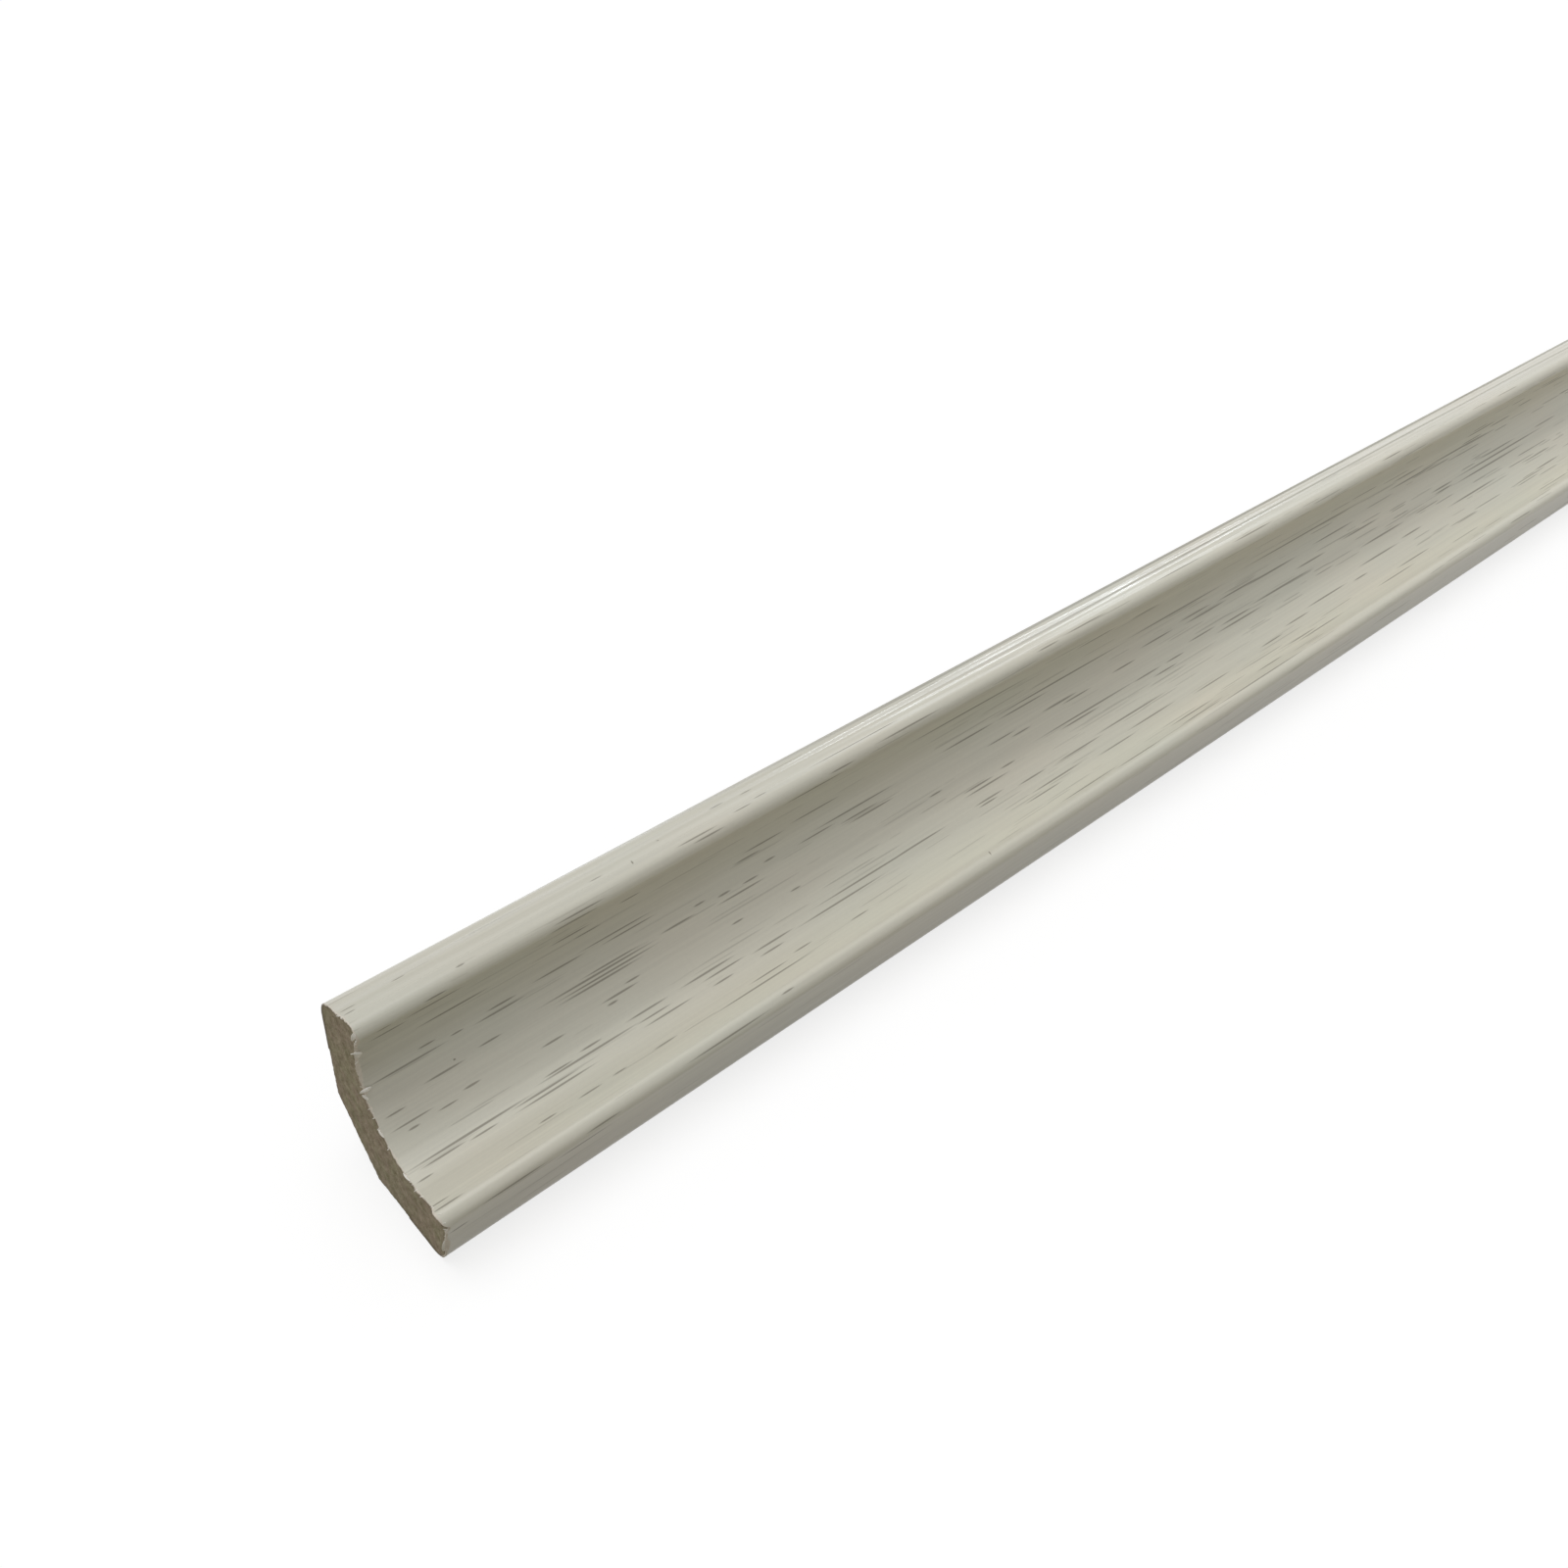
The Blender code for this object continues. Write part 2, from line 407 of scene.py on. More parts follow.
on_lips = [(edge + 0 * roll[:, None]).ravel() for edge in edges]
run = np.concatenate([length[:, column].ravel(), *on_lips]) - LEFT - SET_BACK
round_it = np.concatenate([np.tile(girth[column], len(length)), np.tile(girth, 2 * len(roll))])
print_map = np.column_stack([run, round_it])[faces.ravel()]
# On the edge map the first value is the distance from the nearer torn edge over the chipped width
# there, up to 4, and the second is 1 where what shows is pale paper, not the returns' dark brown
# edge
behind_edge = np.minimum((length - edges[0]) / chipped[0], (edges[1] - length) / chipped[1])
chip = np.clip(behind_edge, 0.0, 4.0)[:, column].ravel()
chip = np.concatenate([chip, np.zeros(lip_numbers.size)])
paper = np.interp(round_it, girth, shown(girth))
edge_map = np.column_stack([chip, paper])[faces.ravel()]
turns = [0, last, last + LIP_ROWS, 2 * last + LIP_ROWS + 1, len(column) - 1]
place_in_row = np.interp(np.arange(len(column)), turns, OUTLINE_IN_ROW)
shell_share = np.tile(place_in_row, len(length))[shell_faces]
shell_bake = in_rows(points[shell_faces, 0], shell_share, ROWS_HEIGHT / MAP_ROWS).reshape(-1, 2)
lip_across = np.array(LIP_STARTS)[:, None, None] + LIP_SPREAD * girth / girth[-1]
lip_spots = np.broadcast_arrays(lip_across, LIP_FOOT + LIP_HEIGHT * roll[:, None])
lip_spots = np.stack(lip_spots, -1).reshape(-1, 2)
lip_bake = lip_spots[(lip_faces - shell_numbers.size).ravel()]

# The print's finish, in millimetres on its own map: lengthwise from the near cut, and round the
# girth. First its colours
PRINT_GREENER, PRINT_WARMER = (0.572, 0.574, 0.492, 1.0), (0.612, 0.574, 0.482, 1.0)
PORE_INK = (0.125, 0.108, 0.076, 1.0)
TORN_PAPER, PAPER_SPECKS = (0.740, 0.690, 0.600, 1.0), (0.470, 0.400, 0.330, 1.0)
RETURN_EDGE_BROWN = (0.170, 0.135, 0.090, 1.0)
FOIL_GIRTH = 44.3
# How thick the pores stand at each share of the girth: few on the top face and on the toe
CROWD_STOPS = ((0.0, 0.3), (0.24, 0.5), (0.29, 0.8), (0.40, 1.0), (0.60, 1.0), (0.70, 0.65),
               (0.76, 0.5), (1.0, 0.4))
# How far a row of pores may slide against its neighbours, in boxes
ROW_SLIDE = 23.0
# Painted light: the print is drawn paler and then darker again over this length, standing in for
# more light on the part of the piece further from the cut
PAINTED_LIGHT_WAVE_LENGTH = 960
# The crown of the upper heel and a place on the top face, which both carry a grey line along the
# length
HEEL_CROWN, TOP_LINE = 6.45, 8.60

printed, shader = finish_of("ash_print_foil")
grain = node(printed, "UVMap", uv_map="print").outputs[0]
millimetres = node(printed, "VectorMath", {0: grain, 3: 1000.0}, operation="SCALE").outputs[0]


def maths(operation, *values, clamp=False):
    """One sum over the print, of numbers or other nodes' outputs."""
    inputs = dict(enumerate(values))
    return node(printed, "Math", inputs, operation=operation, use_clamp=clamp).outputs[0]


# The four commonest sums, by what they do with the second value
plus, less = partial(maths, "ADD"), partial(maths, "SUBTRACT")
times, over = partial(maths, "MULTIPLY"), partial(maths, "DIVIDE")


def spread(value, low, high, new_low=0.0, new_high=1.0, kind="LINEAR"):
    """The value's place between low and high, as a value between new low and new high, and no
    further."""
    inputs = {0: value, 1: low, 2: high, 3: new_low, 4: new_high}
    return node(printed, "MapRange", inputs, interpolation_type=kind).outputs[0]


def noise(vector, stretch, detail=2.0, rough=0.5, shift=0.0):
    """Noise over the flat print, with one cell as long and as high as the stretch says, in
    millimetres. The shift keeps it off the others."""
    cells_to_one = (1 / stretch[0], 1 / stretch[1], 1.0)
    fitted = node(printed, "Mapping", {0: vector, 1: (shift, 1.7 * shift, 0.0), 3: cells_to_one})
    inputs = {"Vector": fitted.outputs[0], "Scale": 1.0, "Detail": detail, "Roughness": rough}
    return node(printed, "TexNoise", inputs, noise_dimensions="2D").outputs[0]


# The grain wanders round the girth by up to half a millimetre
flow = times(less(noise(millimetres, (70.0, 9.0), detail=1.0), 0.5), 1.1)
split = node(printed, "SeparateXYZ", {0: millimetres})
lengthwise, height_round = split.outputs[0], split.outputs[1]
girthwise = plus(height_round, flow)
crowd = node(printed, "ValToRGB", {0: over(height_round, FOIL_GIRTH)})
stops = crowd.color_ramp.elements
for place, value in CROWD_STOPS:
    stop = stops.new(place) if 0 < place < 1 else stops[int(place)]
    stop.color = (value, value, value, 1.0)


def lens(run, half_length, rise, half_width):
    """The ink of a long thin mark, which is 1 in its middle: a smooth step of one less the fourth
    power of (run / half length) less (rise / half width)."""
    first, second = over(run, half_length), over(rise, half_width)
    inside = less(1.0, maths("POWER", maths("ABSOLUTE", first), 4.0))
    return spread(less(inside, maths("ABSOLUTE", second)), 0.0, 0.7, kind="SMOOTHSTEP")


def pores(lane, pitch, shortest, longest, width, level, seed):
    """Lens shaped marks, one to a box of the lane's height and the pitch's length. The box's random
    colour gives its place and length, and the box's random value its strength. It shows where that
    value is under the crowd times four times what the mean of a long and a short streaky noise
    rises over the level, so marks stand in rows and bundles. The level is a little lower past the
    listed pores."""
    tall = over(girthwise, lane)
    row = maths("FLOOR", tall)
    slide = node(printed, "TexWhiteNoise", {"W": plus(row, seed)}, noise_dimensions="1D").outputs[0]
    long = plus(over(lengthwise, pitch), times(slide, ROW_SLIDE))
    box = maths("FLOOR", long)
    spot = node(printed, "CombineXYZ", {0: box, 1: row, 2: seed}).outputs[0]
    draw = node(printed, "TexWhiteNoise", {0: spot}, noise_dimensions="3D")
    chance = draw.outputs["Value"]
    colour = node(printed, "SeparateColor", {0: draw.outputs["Color"]}).outputs
    half = spread(maths("POWER", colour[0], 1.5), 0.0, 1.0, shortest / 2, longest / 2)
    at = times(less(colour[1], 0.5), less(pitch, times(half, 2.0)))
    off = less(times(less(maths("FRACT", long), 0.5), pitch), at)
    height = times(less(colour[2], 0.5), lane - width)
    rise = less(times(less(maths("FRACT", tall), 0.5), lane), height)
    mark = lens(off, half, rise, width / 2)
    box_start = times(less(box, times(slide, ROW_SLIDE)), pitch)
    centre = node(printed, "CombineXYZ", {0: box_start, 1: times(row, lane)}).outputs[0]
    rows = plus(noise(centre, (60.0, 1.5), detail=1.0, shift=3.0),
                noise(centre, (26.0, 1.0), detail=1.0, shift=8.0))
    bar = spread(lengthwise, 95.0, 125.0, level, level - 0.020)
    wanted = times(less(times(rows, 0.5), bar), 4.0, clamp=True)
    shows = maths("GREATER_THAN", times(wanted, crowd.outputs[0]), chance)
    strength = spread(maths("FRACT", times(chance, 37.0)), 0.0, 1.0, 0.30, 0.90)
    return times(times(mark, shows), strength)


def speck(place, turn, half_length, half_width):
    """A single dark fleck in the print, strongest in the middle of its oval."""
    size = (half_length, half_width, 1.0)
    inputs = {0: millimetres, 1: (*place, 0.0), 2: (0.0, 0.0, turn), 3: size}
    local = node(printed, "Mapping", inputs, vector_type="TEXTURE").outputs[0]
    away = node(printed, "VectorMath", {0: local}, operation="LENGTH").outputs["Value"]
    return spread(away, 1.0, 0.3, kind="SMOOTHSTEP")


def lengthwise_line(height, middle, edge, core, strongest=1.0):
    """A soft line along the length, which fades from the core's to the edge's half width."""
    away = maths("ABSOLUTE", less(height, middle))
    return spread(away, edge, core, 0.0, strongest, kind="SMOOTHSTEP")


long_pores = pores(lane=0.43, pitch=19.0, shortest=7.0, longest=18.0, width=0.24, level=0.464,
                   seed=3.1)
middling_pores = pores(lane=0.40, pitch=13.0, shortest=4.5, longest=12.5, width=0.20, level=0.480,
                       seed=8.3)
short_pores = pores(lane=0.50, pitch=7.0, shortest=2.0, longest=6.0, width=0.20, level=0.525,
                    seed=14.9)
faint_pores = times(short_pores, 0.45)
ink = maths("MAXIMUM", maths("MAXIMUM", long_pores, middling_pores), faint_pores)
ink = times(ink, spread(lengthwise, 105.0, 190.0, 0.42, 0.90))
# The pores that stand out in the first 215 mm of the print, where it is seen from closest: the
# start and the end from the cut, the place round the girth and the half width
CLOSE_PORES = [
    (0.2, 1.6, 8.9, 0.10), (0.2, 1.3, 9.55, 0.12), (5.0, 6.3, 8.5, 0.10), (24.3, 25.7, 9.55, 0.12),
    (39.0, 40.8, 8.4, 0.15), (42.6, 44.1, 8.7, 0.13), (50.2, 60.5, 10.4, 0.12),
    (40.0, 42.3, 10.9, 0.13), (42.9, 44.6, 10.45, 0.12), (32.9, 37.7, 11.3, 0.13),
    (34.6, 38.2, 11.75, 0.12), (9.6, 10.5, 11.2, 0.13), (6.1, 8.2, 12.54, 0.14),
    (1.7, 3.1, 12.96, 0.12), (4.4, 9.7, 13.42, 0.19), (1.2, 4.5, 13.92, 0.15),
    (19.0, 24.2, 12.15, 0.13), (18.2, 23.5, 12.70, 0.17), (45.6, 53.5, 12.90, 0.19),
    (51.6, 55.0, 12.25, 0.13), (5.5, 12.2, 15.60, 0.15), (18.7, 22.8, 14.80, 0.15),
    (21.0, 24.2, 15.60, 0.12), (26.0, 28.4, 14.20, 0.14), (40.8, 46.0, 16.80, 0.14),
    (39.6, 42.9, 17.45, 0.13), (47.0, 53.5, 16.45, 0.13), (16.6, 21.9, 17.70, 0.14),
    (21.7, 29.4, 17.36, 0.12), (24.0, 29.9, 17.87, 0.12), (11.8, 14.7, 17.92, 0.15),
    (5.1, 6.8, 17.75, 0.13), (0.3, 7.6, 18.50, 0.14), (10.5, 15.6, 18.44, 0.14),
    (8.1, 9.4, 18.22, 0.12), (50.0, 61.0, 18.65, 0.14), (43.0, 44.5, 18.9, 0.14),
    (34.1, 35.5, 19.25, 0.13), (36.9, 38.5, 19.65, 0.16), (40.0, 42.0, 19.75, 0.14),
    (36.7, 42.5, 20.33, 0.13), (30.0, 34.0, 19.93, 0.15), (47.5, 52.4, 19.1, 0.11),
    (53.3, 58.5, 19.5, 0.13), (54.2, 60.5, 19.9, 0.14), (21.2, 27.5, 19.83, 0.13),
    (16.6, 29.0, 20.15, 0.15), (18.3, 29.2, 20.53, 0.13), (18.2, 27.2, 20.86, 0.14),
    (4.7, 8.6, 20.75, 0.14), (10.1, 12.4, 20.42, 0.13), (0.7, 2.6, 21.6, 0.12),
    (0.7, 4.5, 22.83, 0.12), (7.4, 9.1, 22.87, 0.15), (15.1, 17.5, 23.25, 0.14),
    (4.8, 6.7, 23.3, 0.11), (1.9, 3.0, 23.4, 0.14), (21.9, 25.8, 22.67, 0.15),
    (24.7, 26.4, 22.2, 0.13), (22.2, 23.4, 23.1, 0.15), (37.1, 38.6, 22.62, 0.13),
    (44.5, 45.9, 22.8, 0.12), (29.3, 35.4, 25.2, 0.15), (23.0, 27.5, 25.22, 0.14),
    (17.8, 20.1, 25.3, 0.14), (13.9, 16.8, 25.6, 0.13), (13.2, 23.6, 25.85, 0.16),
    (23.7, 27.4, 25.95, 0.12), (0.2, 11.9, 26.27, 0.17), (10.1, 16.9, 26.55, 0.15),
    (1.2, 5.4, 26.7, 0.15), (5.7, 8.4, 26.86, 0.13), (10.3, 18.3, 26.98, 0.15),
    (24.1, 29.4, 26.55, 0.13), (31.8, 34.3, 26.7, 0.14), (31.4, 36.2, 25.8, 0.13),
    (37.2, 42.3, 26.0, 0.15), (37.6, 40.6, 26.7, 0.14), (46.0, 61.0, 25.4, 0.14),
    (43.0, 54.4, 26.2, 0.14), (34.7, 39.2, 28.7, 0.13), (29.7, 42.0, 29.45, 0.16),
    (10.9, 12.7, 29.2, 0.15), (14.9, 17.4, 29.2, 0.15), (18.6, 20.1, 29.1, 0.13),
    (23.0, 25.6, 29.15, 0.14), (47.4, 49.9, 28.75, 0.13), (40.4, 42.7, 28.3, 0.13),
    (0.3, 1.8, 27.6, 0.13), (-0.5, 2.3, 31.5, 0.16), (-0.5, 1.5, 30.7, 0.13),
    (24.2, 33.6, 32.75, 0.13), (13.4, 16.9, 33.05, 0.13), (3.2, 9.4, 33.25, 0.16),
    (0.2, 2.0, 34.35, 0.15), (10.3, 15.8, 33.9, 0.13), (35.5, 37.0, 32.2, 0.13),
    (58.5, 67.5, 11.85, 0.13), (83.5, 87.2, 11.55, 0.12), (88.3, 96.0, 11.35, 0.14),
    (57.0, 62.6, 10.4, 0.13), (63.5, 82.0, 14.7, 0.17), (90.8, 98.2, 14.6, 0.13),
    (101.0, 106.5, 14.8, 0.14), (76.8, 99.5, 17.6, 0.15), (68.6, 76.7, 18.2, 0.15),
    (77.6, 85.8, 18.2, 0.14), (101.0, 120.0, 17.4, 0.15), (103.0, 109.3, 19.4, 0.14),
    (111.0, 117.4, 19.0, 0.14), (112.0, 120.6, 19.6, 0.15), (84.5, 90.4, 20.1, 0.17),
    (87.8, 92.8, 20.5, 0.13), (97.1, 101.5, 20.3, 0.14), (75.0, 79.6, 20.3, 0.11),
    (78.9, 82.0, 20.8, 0.13), (64.9, 66.9, 21.85, 0.13), (82.5, 99.5, 22.5, 0.14),
    (85.8, 92.8, 22.9, 0.14), (99.6, 104.8, 22.55, 0.13), (106.0, 109.6, 22.55, 0.13),
    (103.0, 107.6, 23.25, 0.13), (111.2, 116.8, 21.8, 0.13), (69.1, 73.8, 23.4, 0.14),
    (69.1, 76.0, 23.85, 0.14), (75.3, 77.7, 23.15, 0.13), (56.5, 64.4, 25.35, 0.14),
    (69.3, 73.8, 25.2, 0.14), (69.6, 72.5, 25.55, 0.13), (75.8, 80.3, 25.75, 0.14),
    (82.3, 90.0, 25.85, 0.14), (89.8, 102.4, 25.5, 0.14), (76.3, 84.6, 27.4, 0.15),
    (74.3, 80.3, 28.15, 0.13), (87.2, 93.8, 27.9, 0.13), (93.6, 102.4, 27.15, 0.14),
    (105.8, 112.8, 27.7, 0.13), (76.8, 86.4, 30.95, 0.15), (86.0, 94.4, 31.3, 0.15),
    (97.8, 105.8, 30.05, 0.15), (98.3, 106.4, 31.0, 0.16), (105.8, 115.5, 10.9, 0.15),
    (121.5, 130.0, 11.35, 0.15), (119.0, 128.5, 19.15, 0.16), (118.0, 124.5, 22.1, 0.15),
    (116.5, 126.5, 22.65, 0.15), (120.5, 125.3, 27.2, 0.15), (104.5, 123.5, 31.65, 0.14),
    (115.0, 120.5, 30.25, 0.14), (123.5, 130.0, 29.15, 0.14), (125.0, 154.0, 16.8, 0.16),
    (125.0, 136.5, 19.3, 0.17), (141.0, 151.0, 19.0, 0.15), (125.0, 139.0, 21.8, 0.18),
    (136.0, 143.0, 20.8, 0.16), (147.5, 157.0, 20.5, 0.16), (161.0, 175.0, 17.6, 0.18),
    (172.0, 189.0, 17.3, 0.19), (162.0, 169.0, 16.7, 0.15), (171.5, 177.5, 21.3, 0.17),
    (172.0, 177.0, 21.75, 0.16), (179.0, 206.0, 21.2, 0.18), (178.0, 199.0, 21.95, 0.18),
    (186.0, 197.5, 20.55, 0.16), (173.0, 187.5, 24.3, 0.17), (159.0, 164.5, 24.6, 0.15),
    (133.0, 142.5, 25.9, 0.16), (127.0, 132.5, 26.5, 0.15), (147.5, 157.5, 24.9, 0.16),
    (144.0, 147.5, 26.2, 0.14), (125.0, 135.6, 29.6, 0.14), (145.6, 155.0, 29.0, 0.14),
    (152.0, 161.0, 28.1, 0.16), (196.0, 204.0, 26.5, 0.17), (150.6, 162.0, 22.75, 0.17),
    (157.0, 162.5, 11.4, 0.14),
]
# A mark fades towards its ends and sides, so its oval is longer and its half width is divided
OVAL_SHARE, OVAL_NARROWER = 0.62, 1.15
apart = 1.0
for start, end, place, half_width in CLOSE_PORES:
    half_length = OVAL_SHARE * (end - start)
    scale = (1 / half_length, OVAL_NARROWER / half_width, 0.0)
    shift = (-(start + end) / 2 / half_length, -OVAL_NARROWER * place / half_width, 0.0)
    inputs = {0: millimetres, 1: scale, 2: shift}
    from_middle = node(printed, "VectorMath", inputs, operation="MULTIPLY_ADD").outputs[0]
    away = node(printed, "VectorMath", {0: from_middle}, operation="LENGTH").outputs["Value"]
    apart = maths("MINIMUM", apart, away)
ink = maths("MAXIMUM", ink, spread(apart, 1.0, 0.45, 0.0, 0.78, kind="SMOOTHSTEP"))
FLECKS = (((28.7, 10.05), radians(108), 0.50, 0.11), ((64.6, 31.6), radians(112), 0.45, 0.10),
          ((7.8, 20.27), 0.0, 0.16, 0.11), ((32.5, 8.87), radians(15), 0.18, 0.10))
for fleck in FLECKS:
    ink = maths("MAXIMUM", ink, speck(*fleck))

streaks = noise(millimetres, (45.0, 0.38), detail=3.0, rough=0.6, shift=5.0)
bands = noise(millimetres, (90.0, 2.4), shift=9.0)
tints = noise(millimetres, (22.0, 9.0), shift=13.0)
speckle = noise(millimetres, (0.40, 0.28), rough=0.6, shift=17.0)
drift = noise(millimetres, (330.0, 200.0), detail=0.0, shift=2.0)
ground = blend(printed, tints, PRINT_GREENER, PRINT_WARMER)
# The print's tone: random streaks, bands and speckle, which also carries the painted light and
# shade added below
print_tone_and_painted_light = plus(0.745, plus(times(streaks, 0.19), plus(times(bands, 0.20), times(speckle, 0.05))))
# Painted light: a slow sine makes the print paler away from the cut, most at a quarter of that
# length
painted_light_wave = times(maths("SINE", times(lengthwise, 2 * pi / PAINTED_LIGHT_WAVE_LENGTH)), 0.11)
# Two grey lines along the length follow the upper heel, one over its crown and one on the top face
heel_lines = lengthwise_line(height_round, HEEL_CROWN, 0.70, 0.45)
heel_lines = times(heel_lines, spread(lengthwise, 30.0, 65.0))
top_face_line = lengthwise_line(girthwise, TOP_LINE, 0.30, 0.08, strongest=0.8)
top_face_line = times(top_face_line, spread(lengthwise, 60.0, 95.0))
heel_lines = times(maths("MAXIMUM", heel_lines, top_face_line), spread(bands, 0.35, 0.6, 0.30, 0.46))
print_tone_and_painted_light = plus(print_tone_and_painted_light, less(plus(times(drift, 0.10), painted_light_wave), heel_lines))
# Painted light and shade round the girth: the print is drawn duller in the upper half of the cove
# and on the toe, where shade falls, and palest towards the lower nose, where more light falls
painted_light_and_shade = plus(spread(height_round, 22.0, 30.0, 0.95, 1.07),
             spread(height_round, 13.2, 16.0, 0.05, 0.0))
print_tone_and_painted_light = times(print_tone_and_painted_light, less(painted_light_and_shade, spread(height_round, 33.2, 35.4, 0.0, 0.13)))
grey = node(printed, "CombineColor", {0: print_tone_and_painted_light, 1: print_tone_and_painted_light, 2: print_tone_and_painted_light}).outputs[0]
ground = blend(printed, 1.0, ground, grey, "MULTIPLY")
coloured = blend(printed, times(ink, 0.80), ground, PORE_INK)
# At the cut the print is chipped off its paper, and the returns end in a dark brown line
edge_place = node(printed, "UVMap", uv_map="edge").outputs[0]
edge = node(printed, "SeparateXYZ", {0: edge_place}).outputs
mottled = blend(printed, times(speckle, 0.5), TORN_PAPER, PAPER_SPECKS)
edging = blend(printed, edge[1], RETURN_EDGE_BROWN, mottled)
frayed = plus(edge[0], times(less(speckle, 0.5), 0.8))
torn = spread(frayed, 1.15, 0.85)
shown_colour = blend(printed, torn, coloured, edging)
# The top face is smoother and glossier, and ink, the grey heel lines and torn paper are duller
on_top = spread(height_round, 10.6, 8.8)
sheen = spread(speckle, 0.0, 1.0, 0.29, 0.33)
sheen = times(sheen, less(1.0, times(on_top, 0.45)))
matt = plus(times(ink, 0.25), times(torn, 0.4))
matt = plus(matt, times(heel_lines, 1.2))
roughness = plus(sheen, matt)
wavy = noise(millimetres, (2.6, 1.0), detail=0.8, shift=21.0)
# The pressed grain is deepest on the top face, which is smooth along it
pressed = noise(millimetres, (30.0, 0.85), detail=0.3, shift=25.0)
pressed = times(pressed, plus(1.5, times(on_top, 14.0)))
waves = times(wavy, spread(on_top, 0.0, 1.0, 0.6, 0.08))
fine = times(speckle, spread(on_top, 0.0, 1.0, 0.04, 0.0))
height = plus(pressed, plus(waves, fine))
relief = node(printed, "Bump", {"Height": height, "Strength": 0.5, "Distance": 0.00003}).outputs[0]
fill(printed, shader, {"Base Color": shown_colour, "Roughness": roughness, "Normal": relief})

foil_bake = np.vstack([shell_bake, lip_bake])
foil = piece("decor_foil", points, faces, 50, printed,
             {"print": print_map, "edge": edge_map, "OFBake": foil_bake})


# The burrs of the cut: slivers and fibres of the foil's torn paper, which the saw has pulled over
# the edge. They hang on the foil's rim: one sharp spike and one tuft in the upper cove, some bigger
# flakes, and a row of fine fibres at both cuts.
BURR_RINGS, BURR_SIDES = 11, 8
FINE_FIBRES = 64
# A fine fibre keeps this far off the sheet's long edges, and its end drifts this far at most
FIBRE_MARGIN, FIBRE_DRIFT = 0.0078, 0.00022
# How far behind the cut and how deep in the foil it starts, and how far its middle and its end
# lean out over the cut
FIBRE_START, FIBRE_SUNK, FIBRE_BEND, FIBRE_END = 0.00010, 0.00002, 0.00010, 0.00030
BURR_PALE, BURR_SHADED = (0.92, 0.90, 0.84, 1.0), (0.77, 0.74, 0.67, 1.0)
# Start, middle and end of the near cut's big burrs, as (from the cut into the stock, place round
# the girth, height off the foil's face), then half width and half thickness, in millimetres
BIG_BURRS = np.array([
    [[-0.46, 18.67, -0.03], [-0.07, 18.38, 0.46], [0.64, 18.68, 0.02], [0.20, 0.08, 0.0]],
    [[-0.30, 18.90, -0.10], [-0.12, 19.20, 0.00], [0.05, 19.55, 0.03], [0.12, 0.05, 0.0]],
    [[-0.46, 14.50, -0.18], [-0.28, 13.90, 0.44], [0.36, 14.66, 0.22], [0.24, 0.10, 0.0]],
    [[-0.20, 14.20, 0.00], [-0.05, 14.60, 0.14], [0.16, 15.20, 0.04], [0.20, 0.07, 0.0]],
    [[0.03, 12.30, -0.06], [-0.36, 12.10, 0.10], [-0.46, 11.90, 0.46], [0.28, 0.10, 0.0]],
    [[-0.02, 12.60, -0.04], [-0.30, 12.70, 0.12], [-0.40, 12.45, 0.34], [0.15, 0.06, 0.0]],
    [[-0.08, 35.15, -0.12], [-0.24, 36.00, -0.06], [-0.10, 37.00, -0.16], [0.22, 0.09, 0.0]],
    [[-0.10, 22.05, -0.08], [-0.20, 22.40, 0.02], [-0.02, 22.90, 0.03], [0.08, 0.04, 0.0]],
    [[-0.08, 26.10, -0.06], [-0.18, 26.50, 0.02], [-0.05, 27.10, 0.02], [0.08, 0.04, 0.0]],
]) / 1000


def fine_fibres(count, seed):
    """Random small burrs in the same form: each starts on the front just inside the cut, leans out
    over it, and drifts along the girth. They are kept off the two returns."""
    draw = np.random.default_rng(seed)
    place = draw.uniform(FIBRE_MARGIN, girth[-1] - FIBRE_MARGIN, count)
    size = draw.uniform(0.35, 1.0, count) ** 2
    drift = draw.uniform(-FIBRE_DRIFT, FIBRE_DRIFT, count)
    bend_off = draw.uniform(-0.00004, 0.00006, count)
    end_off = draw.uniform(-0.00018, 0.00004, count)
    half_width = draw.uniform(0.00002, 0.00005, count)
    half_thickness = draw.uniform(0.000012, 0.00003, count)
    zero = np.zeros(count)
    start = np.column_stack([FIBRE_START * size, place, zero - FIBRE_SUNK])
    bend = np.column_stack([-FIBRE_BEND * size, place + 0.4 * drift, bend_off])
    end = np.column_stack([-FIBRE_END * size, place + drift, end_off])
    thick = np.column_stack([half_width, half_thickness, zero])
    return np.stack([start, bend, end, thick], 1)


def round_girth(place, values):
    """The foil's (out, up), or its outward direction, at places round the girth."""
    return np.stack([np.interp(place, girth, values[:, k]) for k in (0, 1)], -1)


def burr_points(burrs, cut, inwards):
    """Tapered flat tubes. The middle line is a parabola through the three given places, (1 - t)^2,
    2t(1 - t) and t^2 of them. Round it runs an oval whose half width is across the line and whose
    half thickness is off the foil's face, both times the root of 4t(1 - t), so that both ends
    close in a point."""
    t = np.linspace(0.0, 1.0, BURR_RINGS)[None, :, None]
    start, bend, end, size = (burrs[:, k, None] for k in range(4))
    line = start * (1 - t) ** 2 + bend * 2 * t * (1 - t) + end * t**2
    step = (bend - start) * (1 - t) + (end - bend) * t
    side = np.stack([-step[..., 1], step[..., 0]], -1)
    side = side / np.hypot(step[..., 0], step[..., 1])[..., None]
    swell = np.sqrt(4 * t * (1 - t))
    angle = 2 * pi * np.arange(BURR_SIDES) / BURR_SIDES
    wide = (size[..., :1] * swell * np.cos(angle))[..., None] * side[:, :, None]
    place = line[:, :, None, :2] + wide
    off = line[..., 2:] + size[..., 1:2] * swell * np.sin(angle)
    along, round_it = place[..., 0], place[..., 1]
    section = round_girth(round_it, outer) + off[..., None] * round_girth(round_it, outward)
    return placed(cut + inwards * along, section)


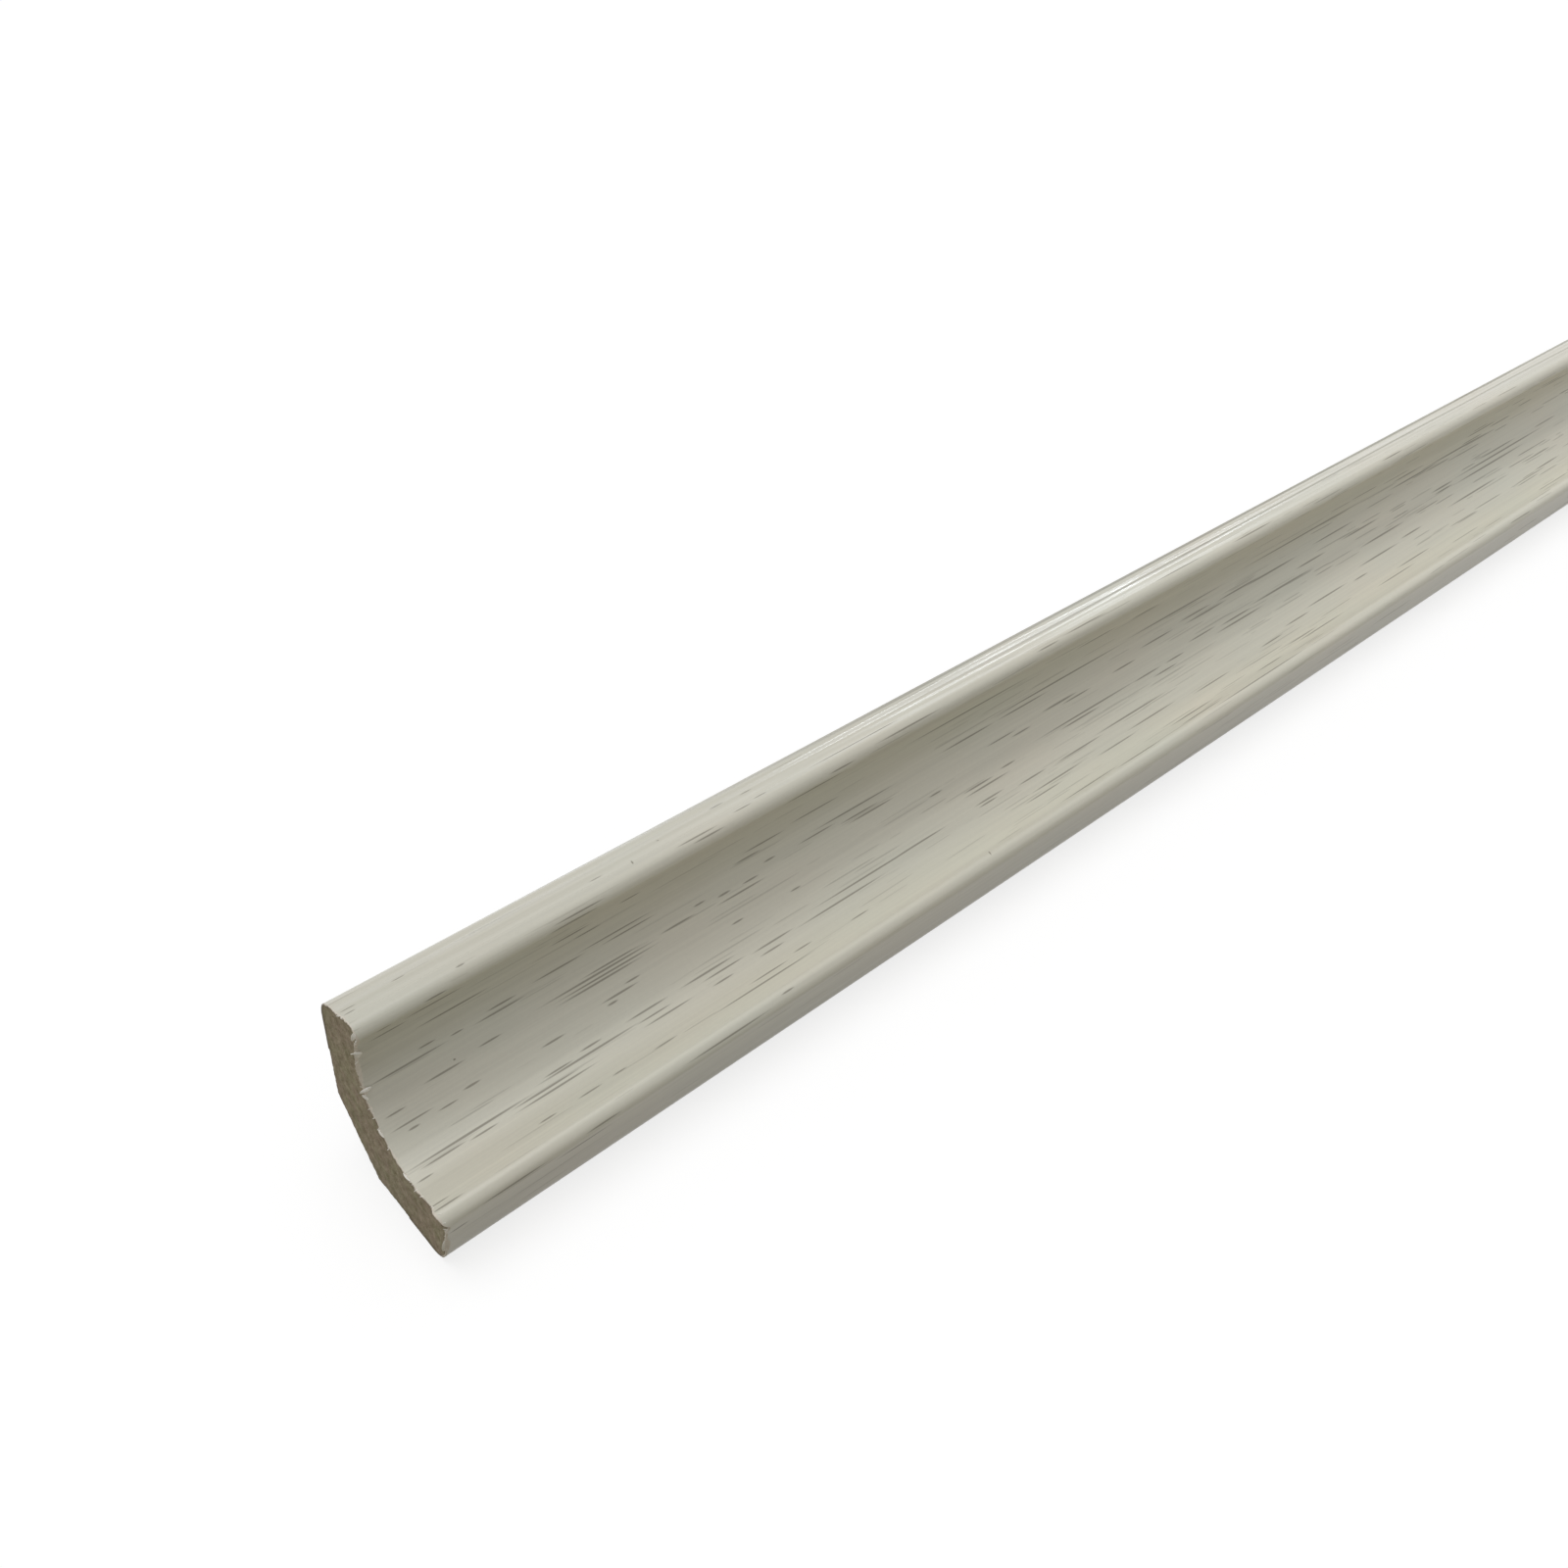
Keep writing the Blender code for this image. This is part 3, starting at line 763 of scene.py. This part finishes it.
near_burrs = np.concatenate([BIG_BURRS, fine_fibres(FINE_FIBRES, seed=5)])
far_burrs = fine_fibres(FINE_FIBRES, seed=9)
burrs = inside_box(np.concatenate([burr_points(near_burrs, LEFT + SET_BACK, 1),
                                   burr_points(far_burrs, RIGHT - SET_BACK, -1)]))
ring = np.concatenate([np.arange(BURR_SIDES), [0]])
tube = cells(np.arange(BURR_RINGS * BURR_SIDES).reshape(BURR_RINGS, BURR_SIDES)[:, ring])
burr_faces = np.arange(len(burrs))[:, None, None] * BURR_RINGS * BURR_SIDES + tube
burr_faces = burr_faces.reshape(-1, 4)

torn_paper, shader = finish_of("torn_paper")
where = node(torn_paper, "TexCoord").outputs["Object"]
pulp = solid_noise(torn_paper, where, 7000.0, detail=3.0, rough=0.7)
pale = blend(torn_paper, pulp, BURR_PALE, BURR_SHADED)
relief = node(torn_paper, "Bump", {"Height": pulp, "Strength": 0.5, "Distance": 0.00003}).outputs[0]
fill(torn_paper, shader, {"Base Color": pale, "Roughness": 0.85, "Specular IOR Level": 0.3,
                          "Normal": relief})
burr_piece = piece("torn_burrs", burrs, burr_faces, 60, torn_paper, {})


# The camera: about 140 mm from the cut end and looking down the front of the moulding, at a
# photograph of 1600 by 1600 pixels. The focal length and the middle row are in those pixels.
FRAME_SIDE, FOCAL_PIXELS, MIDDLE_ROW = 1600, 1579.6, 563.3
SENSOR = 36.0
LOOKS_DOWN, LOOKS_ALONG = radians(28.836), radians(48.299)
FROM_CUT = (-0.03391, -0.09568, 0.11033)

camera = in_scene("camera", bpy.data.cameras.new("camera"))
camera.data.sensor_width = SENSOR
camera.data.lens = SENSOR * FOCAL_PIXELS / FRAME_SIDE
camera.data.shift_y = (MIDDLE_ROW - FRAME_SIDE / 2) / FRAME_SIDE
camera.data.clip_start, camera.data.clip_end = 0.005, 60.0
camera.location = (LEFT + SET_BACK + FROM_CUT[0], WALL + FROM_CUT[1], FROM_CUT[2])
camera.rotation_euler = (pi / 2 - LOOKS_DOWN, 0.0, LOOKS_ALONG - pi / 2)
bpy.context.scene.camera = camera


# The floor and the light: a plain pale sheet under an overhead soft light, a low window behind the
# moulding and a bright surround. A camera ray sees the sheet and the surround white, and the sheet
# keeps the moulding's shadow.
SHEET_HALF_SIDE, SHEET_DROP = 8, 0.00002
WHITE, SHEET_TONE = (1.0, 1.0, 1.0, 1.0), (0.240, 0.208, 0.130, 1.0)
# Part of what is seen of the sheet is its own white, so the shadow stays faint
OWN_WHITE, OWN_WHITE_SHARE = 1.08, 0.72
SURROUND_LIGHT = 0.460
OVERHEAD_ENERGY, OVERHEAD_SPREAD = 1.20, radians(50)
# The window glances off the top face 90 mm from the cut
WINDOW_FROM, WINDOW_WAY, WINDOW_FAR = (LEFT + 0.090, 0.005, REACH), (0.664, 0.726, 0.180), 1.3
WINDOW_SIZE, WINDOW_ENERGY, WINDOW_COLOUR = (0.50, 0.07), 0.85, (0.86, 0.94, 1.0)

floor_mesh = bpy.data.meshes.new("floor")
corners = SHEET_HALF_SIDE * np.array([[-1, -1], [1, -1], [1, 1], [-1, 1]], float)
sheet_points = np.column_stack([corners, np.full(4, -SHEET_DROP)])
floor_mesh.from_pydata(sheet_points.tolist(), [], [[0, 1, 2, 3]])
floor = in_scene("floor", floor_mesh)
sheet, shader = finish_of("pale_sheet")


def straight_on(owner):
    """1 for a ray that comes from the camera or off something shiny or clear, and 0 for others."""
    ray = node(owner, "LightPath").outputs
    seen = node(owner, "Math", {0: ray["Is Camera Ray"], 1: ray["Is Glossy Ray"]},
                operation="MAXIMUM").outputs[0]
    return node(owner, "Math", {0: seen, 1: ray["Is Transmission Ray"]},
                operation="MAXIMUM").outputs[0]


seen = straight_on(sheet)
pale = blend(sheet, seen, SHEET_TONE, WHITE)
fill(sheet, shader, {"Base Color": pale, "Roughness": 1.0, "Specular IOR Level": 0.0})
white = node(sheet, "Emission", {"Color": WHITE, "Strength": OWN_WHITE}).outputs[0]
part = node(sheet, "Math", {0: seen, 1: OWN_WHITE_SHARE}, operation="MULTIPLY").outputs[0]
mixed = node(sheet, "MixShader", {0: part, 1: shader.outputs[0], 2: white}).outputs[0]
fill(sheet, sheet.node_tree.nodes["Material Output"], {"Surface": mixed})
floor_mesh.materials.append(sheet)

world = bpy.data.worlds.new("surround")
bpy.context.scene.world = world
world.use_nodes = True
level = node(world, "Mix", {0: straight_on(world), 2: SURROUND_LIGHT, 3: 1.0}).outputs[0]
fill(world, world.node_tree.nodes["Background"], {"Color": WHITE, "Strength": level})

overhead = in_scene("overhead", bpy.data.lights.new("overhead", "SUN"))
overhead.data.energy, overhead.data.angle = OVERHEAD_ENERGY, OVERHEAD_SPREAD
overhead.rotation_euler = (radians(-12), radians(-4), 0.0)

window = in_scene("window", bpy.data.lights.new("window", "AREA"))
window.data.shape = "RECTANGLE"
window.data.size, window.data.size_y = WINDOW_SIZE
window.data.energy, window.data.color = WINDOW_ENERGY, WINDOW_COLOUR
window.location = [a + WINDOW_FAR * b for a, b in zip(WINDOW_FROM, WINDOW_WAY)]
window.rotation_euler = Vector(WINDOW_WAY).to_track_quat("Z", "Y").to_euler()
window.visible_camera = False
bpy.context.scene.view_settings.view_transform = "Standard"
